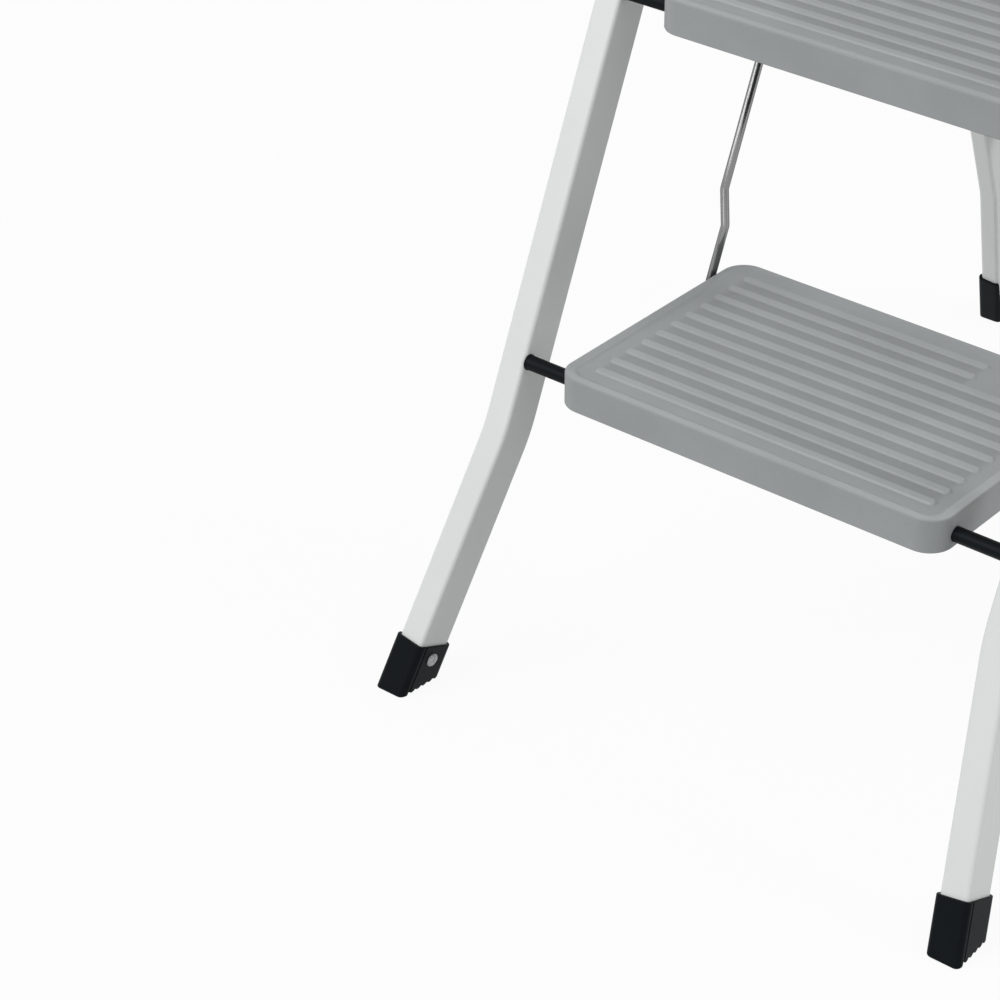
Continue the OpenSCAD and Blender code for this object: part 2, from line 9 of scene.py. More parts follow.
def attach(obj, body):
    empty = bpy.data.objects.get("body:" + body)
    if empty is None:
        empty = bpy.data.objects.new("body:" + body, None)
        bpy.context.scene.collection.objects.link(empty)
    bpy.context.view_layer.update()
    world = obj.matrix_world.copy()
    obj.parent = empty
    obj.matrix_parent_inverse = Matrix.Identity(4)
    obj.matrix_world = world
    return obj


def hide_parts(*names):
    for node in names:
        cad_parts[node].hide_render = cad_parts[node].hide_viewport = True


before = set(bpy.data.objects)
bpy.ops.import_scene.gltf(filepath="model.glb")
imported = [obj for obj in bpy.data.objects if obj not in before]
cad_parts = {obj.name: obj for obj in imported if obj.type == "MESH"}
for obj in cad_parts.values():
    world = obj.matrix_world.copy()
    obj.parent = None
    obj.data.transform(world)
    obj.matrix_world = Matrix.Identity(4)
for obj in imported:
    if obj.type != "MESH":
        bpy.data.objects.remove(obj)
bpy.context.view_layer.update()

MM = 0.001
pi = math.pi


def rad(a):
    return math.radians(a)


# ---- the object's own sizes, in millimetres, as the solids have them ----

TREAD_W, TREAD_D, TREAD_H = 300.0, 208.0, 24.0
TREAD_R = 18.0
AXLE_DROP, AXLE_BACK, LINK_SPAN = 14.7, 20.8, 154.0
STEP_TOPS = [246.5, 481.0, 715.5]
FRONT_W, FRONT_D, FRONT_IN = 20.5, 31.0, 188.0
FRONT_LEAN, FRONT_SPLAY, FRONT_BEND = 22.9, 8.1, 202.0
HOOP_LEN, HOOP_R = 1190.0, 85.0
REAR_W, REAR_D, REAR_IN = 16.0, 30.0, 171.0
REAR_LEAN, REAR_SPLAY, REAR_BEND, REAR_TOP = 20.4, 6.4, 148.0, 10.5
TUBE_R = 3.0
AXLE_INSET = 4.3
COLLAR_T, HINGE_GAP, PLUG_CAP_T = 3.0, 0.5, 2.0
HINGE_H = 861.0
HINGE_BACK = FRONT_D + COLLAR_T + HINGE_GAP + math.hypot(REAR_D / 2, REAR_TOP + PLUG_CAP_T)
FOOT_T, POCKET_V = 2.3, 21.0
RUN_FIT = 0.05
WIRE_R, PIN_GAP, EYE_GAP, JOG_V, JOG_L = 3.05, 0.5, 2.3, 49.5, 24.0
BAR_R, BAR_GAP = 9.0, 0.4
CLIP_GAP, CLIP_WALL, SADDLE_DEG, BEHIND_CLIPS, SKIRT_T = 0.1, 5.0, 58.0, 7.0, 3.0
BRACE_Z = 215.0

FL, RL = rad(FRONT_LEAN), rad(REAR_LEAN)
FRONT_HINGE_V = (HINGE_H + HINGE_BACK * math.sin(FL)) / math.cos(FL)
REAR_HINGE_V = (HINGE_H - REAR_D / 2 * math.sin(RL)) / math.cos(RL)
FRAME_GAP = (HINGE_BACK * math.cos(FL) + FRONT_HINGE_V * math.sin(FL)
             - REAR_D / 2 * math.cos(RL) + REAR_HINGE_V * math.sin(RL))
TOE = FOOT_T / math.cos(FL)
HEEL = (REAR_D + FOOT_T) / math.cos(RL)
FRONT_Y = TOE - (TOE + FRAME_GAP + HEEL) / 2
REAR_Y = FRONT_Y + FRAME_GAP
FRONT_X = FRONT_IN + FRONT_W / 2
REAR_X = REAR_IN + REAR_W / 2
HINGE_Y = REAR_Y + REAR_D / 2 * math.cos(RL) - REAR_HINGE_V * math.sin(RL)
BAR_Z = STEP_TOPS[2] - TREAD_H - BAR_GAP - BAR_R
BAR_Y = HINGE_Y + (HINGE_H - BAR_Z) * math.tan(RL)
BRACE_Y = HINGE_Y + (HINGE_H - BRACE_Z) * math.tan(RL)


def axle(i):
    """Depth and height of tread i's front axle."""
    z = STEP_TOPS[i] - AXLE_DROP
    v = (z + AXLE_INSET * math.sin(FL)) / math.cos(FL)
    return FRONT_Y + AXLE_INSET * math.cos(FL) + v * math.sin(FL), z


CLIP_D = 2 * (BAR_R + CLIP_GAP) * math.sin(rad(SADDLE_DEG)) + 2 * CLIP_WALL
PLATFORM_D = AXLE_BACK + BAR_Y - axle(2)[0] + CLIP_D / 2 + BEHIND_CLIPS + SKIRT_T


def on_front(p):
    """Points (x, back, up the leg) of the leaning front frame, in the object's millimetres."""
    p = np.asarray(p, float)
    x, y, v = p[..., 0], p[..., 1], p[..., 2]
    return np.stack([x, FRONT_Y + y * math.cos(FL) + v * math.sin(FL),
                     v * math.cos(FL) - y * math.sin(FL)], -1)


def on_rear(p):
    """The same for the rear frame, which leans the other way."""
    p = np.asarray(p, float)
    x, y, v = p[..., 0], p[..., 1], p[..., 2]
    return np.stack([x, REAR_Y + y * math.cos(RL) - v * math.sin(RL),
                     v * math.cos(RL) + y * math.sin(RL)], -1)


# ---- mesh helpers ----

MERGE_M = 1e-7


def build(name, verts, faces, body, material, slot, replaces=(), weighted=True, sharp=None,
          tone=None):
    """One mesh piece from millimetre points; tone gives its points painted light and shade."""
    mesh = bpy.data.meshes.new(name)
    mesh.from_pydata([tuple(v) for v in np.asarray(verts, float) * MM], [], [tuple(f) for f in faces])
    bm = bmesh.new()
    bm.from_mesh(mesh)
    bmesh.ops.remove_doubles(bm, verts=bm.verts, dist=MERGE_M)
    bmesh.ops.recalc_face_normals(bm, faces=bm.faces)
    bm.to_mesh(mesh)
    bm.free()
    mesh.update()
    if tone is not None:
        at = np.empty(3 * len(mesh.vertices))
        mesh.vertices.foreach_get("co", at)
        shade = mesh.attributes.new("tone", "FLOAT", "POINT")
        shade.data.foreach_set("value", tone(at.reshape(-1, 3) / MM))
    obj = bpy.data.objects.new(name, mesh)
    bpy.context.scene.collection.objects.link(obj)
    for poly in mesh.polygons:
        poly.use_smooth = True
    if sharp is not None:
        mesh.set_sharp_from_angle(angle=rad(sharp))
    if weighted:
        mod = obj.modifiers.new("normals", "WEIGHTED_NORMAL")
        mod.keep_sharp = True
        mod.weight = 100
    obj.data.materials.append(material)
    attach(obj, body)
    if replaces:
        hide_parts(*replaces)


def join(parts):
    """Several (verts, faces) as one."""
    verts, faces, base = [], [], 0
    for v, f in parts:
        v = np.asarray(v, float)
        verts.append(v)
        faces += [tuple(i + base for i in face) for face in f]
        base += len(v)
    return np.vstack(verts), faces


def mirrored(part):
    """The left-hand copy of a right-hand (verts, faces)."""
    v, f = part
    return np.asarray(v, float) * [-1, 1, 1], [tuple(reversed(face)) for face in f]


def rings(loops, closed=False, cap=True):
    """Skin of a stack of loops that all have the same number of points."""
    n = len(loops[0])
    verts = np.vstack(loops)
    faces = []
    count = len(loops)
    for k in range(count if closed else count - 1):
        a, b = k * n, (k + 1) % count * n
        faces += [(a + i, a + (i + 1) % n, b + (i + 1) % n, b + i) for i in range(n)]
    if cap and not closed:
        faces.append(tuple(range(n - 1, -1, -1)))
        faces.append(tuple((count - 1) * n + i for i in range(n)))
    return verts, faces


def round_rect(w, d, r):
    """Outline points (p, q), p across, q from 0 to d."""
    steps = 5
    pts = []
    for cx, cy, start in ((w / 2 - r, d - r, 0), (r - w / 2, d - r, 90),
                          (r - w / 2, r, 180), (w / 2 - r, r, 270)):
        for k in range(steps + 1):
            a = rad(start + 90 * k / steps)
            pts.append((cx + r * math.cos(a), cy + r * math.sin(a)))
    return np.array(pts)


def lathe(profile, centre, n=48):
    """Solid of revolution about a line along X through centre; profile is (along, radius)."""
    loops = []
    a = np.arange(n) * 2 * pi / n
    for t, r in profile:
        loops.append(np.stack([np.full(n, centre[0] + t), centre[1] + r * np.cos(a),
                               centre[2] + r * np.sin(a)], -1))
    return rings(loops)


def sweep_flat(path, outline, place):
    """Sweeps an outline (p, q) along a path (x, v) that lies in a leaning plane."""
    path = np.asarray(path, float)
    loops = []
    for i, (x, v) in enumerate(path):
        a = path[max(i - 1, 0)]
        b = path[min(i + 1, len(path) - 1)]
        if 0 < i < len(path) - 1:
            t1 = (path[i] - a) / np.linalg.norm(path[i] - a)
            t2 = (b - path[i]) / np.linalg.norm(b - path[i])
            t = t1 + t2
            t /= np.linalg.norm(t)
            k = 1 / max(np.dot(t, t1), 0.5)
        else:
            t = (b - a) / np.linalg.norm(b - a)
            k = 1
        n = np.array([t[1], -t[0]])
        loops.append(place(np.stack([x + n[0] * k * outline[:, 0], outline[:, 1],
                                     v + n[1] * k * outline[:, 0]], -1)))
    return rings(loops)


def arc(centre, r, a0, a1, n):
    """n + 1 points of an arc, its angles in degrees."""
    return [(centre[0] + r * math.cos(rad(a0 + (a1 - a0) * k / n)),
             centre[1] + r * math.sin(rad(a0 + (a1 - a0) * k / n))) for k in range(n + 1)]


def leg_path(x, splay, bend_v, low_v, radius):
    """Right-hand leg's centre line from its foot to just above the splay bend."""
    s = math.tan(rad(splay))
    tangent = radius * math.tan(rad(splay / 2))
    foot = (x + (bend_v - low_v) * s, low_v)
    # the bend's centre lies outside the leg, level with the straight part's lower end
    return [foot] + arc((x + radius, bend_v + tangent), radius, 180 + splay, 180, 8)


# ---- materials: all procedural, in the object's own coordinates ----

def material(name, color, rough, metallic=0.0, mottle=0.04, mottle_scale=30.0, rough_vary=0.06,
             grain_scale=900.0, grain=0.00004, peel_scale=0.0, peel=0.0, stretch=(1, 1, 1),
             edge_tint=None, specular=0.5, tone=0.0):
    """Grainy surface: colour clouds, patchy gloss, fine bump and, for paint, an orange-peel bump."""
    m = bpy.data.materials.new(name)
    m.use_nodes = True
    nt = m.node_tree
    nt.nodes.clear()
    new = nt.nodes.new
    link = nt.links.new
    out = new("ShaderNodeOutputMaterial")
    bsdf = new("ShaderNodeBsdfPrincipled")
    link(bsdf.outputs[0], out.inputs[0])
    bsdf.inputs["Metallic"].default_value = metallic
    bsdf.inputs["Specular IOR Level"].default_value = specular
    if edge_tint is not None:
        bsdf.inputs["Specular Tint"].default_value = (*edge_tint, 1)
    where = new("ShaderNodeTexCoord")
    space = new("ShaderNodeMapping")
    space.inputs["Scale"].default_value = stretch
    link(where.outputs["Object"], space.inputs["Vector"])

    def noise(scale, detail=3.0):
        n = new("ShaderNodeTexNoise")
        n.inputs["Scale"].default_value = scale
        n.inputs["Detail"].default_value = detail
        link(space.outputs[0], n.inputs["Vector"])
        return n

    clouds = noise(mottle_scale)
    ramp = new("ShaderNodeValToRGB")
    lo = [c * (1 - mottle) for c in color]
    hi = [c * (1 + mottle) for c in color]
    ramp.color_ramp.elements[0].position = 0.35
    ramp.color_ramp.elements[1].position = 0.65
    ramp.color_ramp.elements[0].color = (*lo, 1)
    ramp.color_ramp.elements[1].color = (*hi, 1)
    link(clouds.outputs["Fac"], ramp.inputs["Fac"])
    colour = ramp.outputs["Color"]
    fine = noise(grain_scale, 2.0)
    speck = new("ShaderNodeMapRange")
    speck.inputs["From Min"].default_value = 0.3
    speck.inputs["From Max"].default_value = 0.7
    speck.inputs["To Min"].default_value = 1 - mottle
    speck.inputs["To Max"].default_value = 1 + mottle
    link(fine.outputs["Fac"], speck.inputs["Value"])
    mix = new("ShaderNodeVectorMath")
    mix.operation = "SCALE"
    link(colour, mix.inputs[0])
    link(speck.outputs[0], mix.inputs["Scale"])
    colour = mix.outputs[0]
    if tone:
        # the piece's "tone" attribute, painted light and shade, lightens or darkens it by this share
        own = new("ShaderNodeAttribute")
        own.attribute_name = "tone"
        gain = new("ShaderNodeMath")
        gain.operation = "MULTIPLY_ADD"
        gain.inputs[1].default_value = tone
        gain.inputs[2].default_value = 1.0
        link(own.outputs["Fac"], gain.inputs[0])
        toned = new("ShaderNodeVectorMath")
        toned.operation = "SCALE"
        link(colour, toned.inputs[0])
        link(gain.outputs[0], toned.inputs["Scale"])
        colour = toned.outputs[0]
    link(colour, bsdf.inputs["Base Color"])
    gloss = new("ShaderNodeMapRange")
    gloss.inputs["To Min"].default_value = rough - rough_vary
    gloss.inputs["To Max"].default_value = rough + rough_vary
    link(noise(mottle_scale * 4).outputs["Fac"], gloss.inputs["Value"])
    link(gloss.outputs[0], bsdf.inputs["Roughness"])
    bump = new("ShaderNodeBump")
    bump.inputs["Distance"].default_value = grain
    link(fine.outputs["Fac"], bump.inputs["Height"])
    if peel:
        wide = new("ShaderNodeBump")
        wide.inputs["Distance"].default_value = peel
        link(noise(peel_scale, 1.0).outputs["Fac"], wide.inputs["Height"])
        link(wide.outputs[0], bump.inputs["Normal"])
    link(bump.outputs[0], bsdf.inputs["Normal"])
    return m


# the tread's tone attribute paints light and shade onto it
TREAD = material("tread_plastic", (0.330, 0.344, 0.345), 0.52, mottle=0.035, mottle_scale=22,
                 grain_scale=1400, grain=0.00005, tone=0.13)
PAINT = material("frame_paint", (0.735, 0.752, 0.735), 0.38, mottle=0.012, mottle_scale=14,
                 grain_scale=1800, grain=0.00001, peel_scale=420, peel=0.00003, rough_vary=0.04)
BLACK = material("black_plastic", (0.0050, 0.0059, 0.0070), 0.40, mottle=0.10, mottle_scale=60,
                 grain_scale=1500, grain=0.00003, specular=0.08, edge_tint=(0.82, 0.94, 1.0))
RUBBER = material("foot_rubber", (0.0046, 0.0056, 0.0066), 0.44, mottle=0.12, mottle_scale=80,
                  grain_scale=1200, grain=0.00004, specular=0.068, edge_tint=(0.80, 0.94, 1.0))
WIRE = material("wire_steel", (0.27, 0.27, 0.27), 0.18, metallic=1.0, mottle=0.04, mottle_scale=60,
                grain_scale=2500, grain=0.000004, stretch=(1, 1, 0.12), edge_tint=(0.25, 0.25, 0.25))
STEEL = material("bright_steel", (0.50, 0.505, 0.51), 0.34, metallic=1.0, mottle=0.10,
                 mottle_scale=250, grain_scale=1500, grain=0.00004)
RIVET = material("rivet_metal", (0.36, 0.375, 0.38), 0.55, metallic=0.7, mottle=0.22,
                 mottle_scale=420, grain_scale=1100, grain=0.00015)


# ---- tubes ----

FRONT_BEND_R, REAR_BEND_R = 200.0, 110.0


def front_tube():
    lower = leg_path(FRONT_X, FRONT_SPLAY, FRONT_BEND, POCKET_V, FRONT_BEND_R)
    hoop = arc((FRONT_X - HOOP_R, HOOP_LEN - HOOP_R), HOOP_R, 0, 90, 24)
    half = lower + hoop
    path = [(-x, v) for x, v in half] + list(reversed(half))
    return sweep_flat(path, round_rect(FRONT_W, FRONT_D, TUBE_R), on_front)


def rear_tube():
    lower = leg_path(REAR_X, REAR_SPLAY, REAR_BEND, POCKET_V, REAR_BEND_R)
    path = lower + [(REAR_X, REAR_HINGE_V + REAR_TOP)]
    return sweep_flat(path, round_rect(REAR_W, REAR_D, TUBE_R), on_rear)


build("front_tube", *front_tube(), "front_frame", PAINT, "frame_paint", ["front_frame"], sharp=50)
for side, node in ((1, "rear_leg_right"), (-1, "rear_leg_left")):
    part = rear_tube() if side > 0 else mirrored(rear_tube())
    build(node + "_tube", *part, "rear_frame", PAINT, "frame_paint", [node], sharp=50)


# ---- treads ----

CORNER_STEPS = 18
BORDER = 12.6                      # offset at which the inner grid takes over from the rim's rings
FLOOR_Z, PLATE_Z = -1.6, -4.6
GRIP_H, GRIP_FRONT, GRIP_PITCH, GRIP_SIDE, PLAIN_L = 1.3, 23.5, 16.5, 17.4, 66.0
GRIP_FOOT, GRIP_CREST = 3.9, 2.7   # half widths of a rib at its foot and along its crest
SHORT_GRIPS = 2
EDGE_TONE, RIM_HIGHLIGHT_TONE = -0.8, 1.45   # the rim's outer edge, and the painted highlight on its front and right
STEP_TONE = 0.7                    # painted light on the left rim's slope down to the ribs
RIM_HIGHLIGHT_IN, RIM_HIGHLIGHT_FADE = 14.0, 10  # how far in the painted highlight reaches, and over what it fades
RIM_IN = 10.2                      # the rim and its slope end within this offset
# grid lines across the tread: sparse in the middle, close where ribs and short ribs end
CORE_X = [-118, -100, -75, -50, -25, 0, 25, 50]
SHORT_END_X = [56, 60, 62, 63, 64, 64.8, 65.5, 66, 66.5, 67, 67.5, 68, 70]
RIGHT_X, END_X = [85, 102, 118], [124, 127, 128.8, 129.8, 130.5, 131.1, 131.6]
RIB_Y = (0, 1.6, 2.4, 2.7, 3.0, 3.2, 3.4, 3.6, 3.9, 4.8)   # the same, each side of a rib's middle
WEB_HALF, WEB_RISE, WEB_IN = 1.2, 2, 2.5
BOSS_L, BOSS_IN, BOSS_R = 9.0, 11, 7.4


def stations(w, d, xs, ys):
    """Anchors and outward directions round the outline, counter-clockwise from the front left."""
    cx, r = w / 2 - TREAD_R, TREAD_R
    turns = [rad(90 * k / CORNER_STEPS) for k in range(CORNER_STEPS + 1)]
    sides = [([(x, r) for x in xs[1:-1]], (0, -1), (cx, r)),
             ([(cx, y) for y in ys[1:-1]], (1, 0), (cx, d - r)),
             ([(x, d - r) for x in xs[::-1][1:-1]], (0, 1), (-cx, d - r)),
             ([(-cx, y) for y in ys[::-1][1:-1]], (-1, 0), (-cx, r))]
    marks = []
    for straight, n, corner in sides:
        marks += [(a, n) for a in straight]
        # the normal turns from this side's to the next one's, a quarter turn counter-clockwise
        marks += [(corner, (n[0] * math.cos(t) - n[1] * math.sin(t),
                            n[1] * math.cos(t) + n[0] * math.sin(t))) for t in turns]
    return marks


def smooth(t):
    t = np.clip(t, 0, 1)
    return t * t * (3 - 2 * t)


def grip_row(i, count):
    """A grip rib's place behind the tread's front, and its left and right ends."""
    end = TREAD_W / 2 - GRIP_SIDE
    return GRIP_FRONT + i * GRIP_PITCH, -end, end if i < count - SHORT_GRIPS else end - PLAIN_L


def grip_height(x, y, count):
    h = np.zeros(np.broadcast(x, y).shape)
    half = (GRIP_FOOT + GRIP_CREST) / 2
    for i in range(count):
        c, left, right = grip_row(i, count)
        dx = np.maximum(np.maximum(left + half - x, x - right + half), 0)
        dist = np.hypot(dx, y - c)
        h = np.maximum(h, GRIP_H * smooth((GRIP_FOOT - dist) / (GRIP_FOOT - GRIP_CREST)))
    return h


def tread_tone(d, count):
    """Tone over a tread's own points: painted light on the rib tops and the left rim's slope, a
    painted highlight on the front and right rim, darker along the rim's outer edge, and painted shade in
    the grooves."""
    def tone(p):
        x, y, z = p.T
        qx, qy = np.abs(x) - TREAD_W / 2 + TREAD_R, np.abs(y - d / 2) - d / 2 + TREAD_R
        inset = TREAD_R - np.hypot(np.maximum(qx, 0), np.maximum(qy, 0)) - np.minimum(np.maximum(qx, qy), 0)
        # painted highlight on the front and right rim, fading in from those edges
        rim_highlight = np.maximum(smooth((RIM_HIGHLIGHT_IN - y) / RIM_HIGHLIGHT_FADE),
                            smooth((x - TREAD_W / 2 + RIM_HIGHLIGHT_IN) / RIM_HIGHLIGHT_FADE))
        left_rim = smooth((RIM_HIGHLIGHT_IN - TREAD_W / 2 - x) / 4) * (1 - rim_highlight)
        edge = 1 - smooth((inset - 0.5) / 0.7)
        t = RIM_HIGHLIGHT_TONE * rim_highlight * smooth((z + 0.9) / 0.6) * (1 - edge)
        t += EDGE_TONE * edge * smooth((z + 1.2) / 0.3)
        # painted light on the left rim's slope, which the lamps leave dark
        t += STEP_TONE * left_rim * (z < -0.05) * (z > FLOOR_Z + 0.05) * (inset > 5.0)
        # painted light on the rib tops, and painted shade in the grooves between the ribs
        inside = np.minimum(TREAD_W / 2 - np.abs(x), np.minimum(y, d - y)) > RIM_IN
        rib = smooth((z - FLOOR_Z) / GRIP_H)
        t = np.where(inside, rib, t)
        for i in range(count - 1):
            c, left, right = grip_row(i + 1, count)
            between = smooth(np.minimum(x - left + 1.0, right + 1.0 - x) / 6.0)
            near = (y > c - GRIP_PITCH) & (y < c) & (z > FLOOR_Z - 0.5)
            t = np.where(near, t - between * (1 - rib), t)
        return np.where(z > PLATE_Z + 1.0, t, 0.0)
    return tone


# from under the plate down the skirt, up its outside and over the rim to the ribs' floor: offset
# in from the outline, and height
RIM = [(3.0, PLATE_Z), (3.0, 0.7 - TREAD_H), (2.7, 0.15 - TREAD_H), (2.2, -TREAD_H),
       (0.8, -TREAD_H), (0.3, 0.2 - TREAD_H), (0.0, 0.8 - TREAD_H), (0.0, -1.1), (0.04, -0.8),
       (0.15, -0.53), (0.33, -0.3), (0.58, -0.13), (0.85, -0.03), (1.15, 0.0), (3.5, 0.0), (5.4, 0.0),
       (6.2, -0.1), (6.9, -0.33), (7.5, -0.64), (8.1, -0.98), (8.7, -1.28), (9.3, -1.5),
       (10.0, FLOOR_Z)]


def box_part(lo, hi):
    x0, y0, z0 = lo
    x1, y1, z1 = hi
    v = [(x0, y0, z0), (x1, y0, z0), (x1, y1, z0), (x0, y1, z0),
         (x0, y0, z1), (x1, y0, z1), (x1, y1, z1), (x0, y1, z1)]
    f = [(3, 2, 1, 0), (4, 5, 6, 7), (0, 1, 5, 4), (1, 2, 6, 5), (2, 3, 7, 6), (3, 0, 4, 7)]
    return np.array(v, float), f


def tread(i, d, count):
    """Shell and webs of tread i, d deep with count ribs, each as (verts, faces)."""
    w, r = TREAD_W, TREAD_R
    cx = w / 2 - r
    xs = sorted([-cx, cx] + CORE_X + SHORT_END_X + RIGHT_X + END_X + [-e for e in END_X])
    ys = {r, d - r}
    for k in range(count):
        c = GRIP_FRONT + k * GRIP_PITCH
        for o in RIB_Y:
            for s in (-1, 1):
                if r + 0.4 < c + s * o < d - r - 0.4:
                    ys.add(round(c + s * o, 3))
    ys = sorted(ys)
    st = stations(w, d, xs, ys)
    loops = []
    for off, z in RIM:
        loops.append([(a[0] + (r - off) * n[0], a[1] + (r - off) * n[1], z) for a, n in st])
    border = [(a[0] + (r - BORDER) * n[0] / max(abs(n[0]), abs(n[1])),
               a[1] + (r - BORDER) * n[1] / max(abs(n[0]), abs(n[1]))) for a, n in st]
    loops.append([(x, y, FLOOR_Z) for x, y in border])
    skin = rings([np.array(l, float) for l in loops], cap=False)
    # inner grid of the top, whose border points are the last ring's
    t = [math.tan(rad(90 * k / CORNER_STEPS)) * (r - BORDER) for k in range(1, CORNER_STEPS // 2 + 1)]
    gx = sorted(list(xs) + [cx + k for k in t] + [-cx - k for k in t])
    gy = sorted(list(ys) + [r - k for k in t] + [d - r + k for k in t])
    X, Y = np.meshgrid(gx, gy)
    Z = FLOOR_Z + grip_height(X, Y, count)
    nx, ny = len(gx), len(gy)
    top = (np.stack([X, Y, Z], -1).reshape(-1, 3),
           [(j * nx + k, j * nx + k + 1, (j + 1) * nx + k + 1, (j + 1) * nx + k)
            for j in range(ny - 1) for k in range(nx - 1)])
    # plate underside: a ring from the skirt's inner wall to one flat face
    low = np.array([(x, y, PLATE_Z) for x, y in border], float)
    under = rings([np.array(loops[0], float), low], cap=False)
    under_face = (low, [tuple(range(len(low)))])
    part = join([skin, top, under, under_face])
    # webs, and the bosses that the rods turn in
    webs = []
    z0, z1 = -TREAD_H + WEB_RISE, PLATE_Z + 0.5
    for f in (1 / 6, 1 / 2, 5 / 6):
        for s in (-1, 1):
            x = s * f * w / 2
            webs.append(box_part((x - WEB_HALF, WEB_IN, z0), (x + WEB_HALF, d - WEB_IN, z1)))
    for f in (0.25, 0.5, 0.75):
        webs.append(box_part((-w / 2 + WEB_IN, f * d - WEB_HALF, z0 + 0.01),
                             (w / 2 - WEB_IN, f * d + WEB_HALF, z1)))
    for y in (AXLE_BACK, AXLE_BACK + LINK_SPAN):
        webs.append(lathe([(0, 5.0), (0.01, 7.0), (0.4, BOSS_R), (BOSS_L, BOSS_R)],
                          (w / 2 - BOSS_IN, y, -AXLE_DROP), n=32))
        webs.append(lathe([(0, BOSS_R), (8.6, BOSS_R), (8.99, 7.0), (BOSS_L, 5.0)],
                          (-w / 2 + BOSS_IN - BOSS_L, y, -AXLE_DROP), n=32))
    place = np.array([0, axle(i)[0] - AXLE_BACK, STEP_TOPS[i]])
    return [(v + place, f) for v, f in (part, join(webs))]


TREADS = ["lower_tread", "middle_tread", "platform"]
for i, (name, d, count) in enumerate(zip(TREADS, (TREAD_D, TREAD_D, PLATFORM_D), (11, 11, 12))):
    shell, webs = tread(i, d, count)
    tone = tread_tone(d, count)
    front = np.array([0, axle(i)[0] - AXLE_BACK, STEP_TOPS[i]])
    build(name + "_shell", *shell, name, TREAD, "tread_plastic", [name], tone=lambda p: tone(p - front))
    build(name + "_webs", *webs, name, TREAD, "tread_plastic", sharp=30)


# ---- axles, sleeves, rear pins ----

TREAD_SIDE = TREAD_W / 2
EYE_IN = TREAD_SIDE + PIN_GAP + WIRE_R
EYE_OUT = EYE_IN + 2 * WIRE_R + EYE_GAP
AXLE_R, SLEEVE_R, SLEEVE_IN, CAP_R = 3.0, 5.2, 9.0, 5.8
IN_CAP, IN_SMALL_CAP = 3.4, 1.4    # how far a pin runs into its cap
LEG_OUT = FRONT_IN + FRONT_W
NAMES = ["lower", "middle", "platform"]


def pin_place(i):
    """Middle of tread i's rear pin."""
    y, z = axle(i)
    return (0.0, y + LINK_SPAN, z)


# profiles of turned parts: place along the axis, radius
SLEEVE = [(TREAD_SIDE - SLEEVE_IN + 0.5, 4.6), (TREAD_SIDE - SLEEVE_IN + 0.9, 5.1),
          (TREAD_SIDE - SLEEVE_IN + 1.4, SLEEVE_R), (TREAD_SIDE + 0.6, SLEEVE_R),
          (FRONT_IN - 2.6, SLEEVE_R), (FRONT_IN - 1.9, SLEEVE_R + 0.12), (FRONT_IN - 1.45, 5.52),
          (FRONT_IN - 1.15, 5.67), (FRONT_IN - 0.5, 5.7), (FRONT_IN - 0.15, 5.62), (FRONT_IN, 5.4)]
CAP = [(0, 5.5), (0.25, 5.75), (0.5, CAP_R), (3.5, CAP_R), (4.2, 5.6), (4.7, 5.1), (4.95, 4.3),
       (5.0, 3.2), (4.9, 1.6)]
SMALL_CAP = [(0, 3.5), (0.2, 3.75), (0.4, 3.8), (1.4, 3.8), (1.75, 3.6), (1.95, 3.1), (2.0, 2.2)]
WASHER = [(0.02, 5.5), (0.3, 5.78), (0.6, CAP_R), (7.2, CAP_R), (7.5, 5.75), (7.78, 5.5)]

for i in range(3):
    y, z = axle(i)
    centre = (0.0, y, z)
    end = [(LEG_OUT, 1.8), (LEG_OUT - 0.12, 2.5), (LEG_OUT - 0.4, 2.85), (LEG_OUT - 0.8, AXLE_R)]
    shaft = [(-t, r) for t, r in end] + list(reversed(end))
    build(NAMES[i] + "_axle_rod", *lathe(shaft, centre, n=36), "front_frame", STEEL, "bright_steel",
          [NAMES[i] + "_axle"], sharp=35)
    sleeve = lathe(SLEEVE, centre, n=40)
    build(NAMES[i] + "_sleeve_right", *sleeve, "front_frame", BLACK, "black_plastic",
          [NAMES[i] + "_spacer_right"], sharp=50)
    build(NAMES[i] + "_sleeve_left", *mirrored(sleeve), "front_frame", BLACK, "black_plastic",
          [NAMES[i] + "_spacer_left"], sharp=50)
    stack = EYE_IN + WIRE_R + PIN_GAP + (0 if i == 0 else EYE_OUT - EYE_IN)
    reach = stack + (IN_SMALL_CAP if i == 0 else IN_CAP)
    rod = [(-reach, 2.6), (0.4 - reach, AXLE_R), (reach - 0.4, AXLE_R), (reach, 2.6)]
    build(NAMES[i] + "_pin_rod", *lathe(rod, pin_place(i), n=36), TREADS[i], STEEL, "bright_steel",
          [NAMES[i] + "_rear_pin"], sharp=35)
    cap = lathe([(stack + t, r) for t, r in (SMALL_CAP if i == 0 else CAP)], pin_place(i), n=40)
    build(NAMES[i] + "_pin_buttons", *join([cap, mirrored(cap)]), TREADS[i], BLACK, "black_plastic",
          [NAMES[i] + "_pin_caps"], sharp=50)
washer = lathe([(TREAD_SIDE + t, r) for t, r in WASHER], pin_place(2), n=40)
build("platform_washers", *join([washer, mirrored(washer)]), "platform", BLACK, "black_plastic",
      ["platform_pin_washers"], sharp=50)


# ---- wire links ----

def rounded(points, radius):
    """A polyline whose inner corners are rounded."""
    n = 6
    pts = [np.asarray(p, float) for p in points]
    out = [pts[0]]
    for a, b, c in zip(pts, pts[1:], pts[2:]):
        u = (a - b) / np.linalg.norm(a - b)
        v = (c - b) / np.linalg.norm(c - b)
        half = math.acos(max(-1, min(1, float(np.dot(u, v))))) / 2
        cut = radius / math.tan(half)
        p0, p1 = b + u * cut, b + v * cut
        for k in range(n + 1):
            t = k / n
            out.append((1 - t) ** 2 * p0 + 2 * t * (1 - t) * b + t * t * p1)
    out.append(pts[-1])
    return out


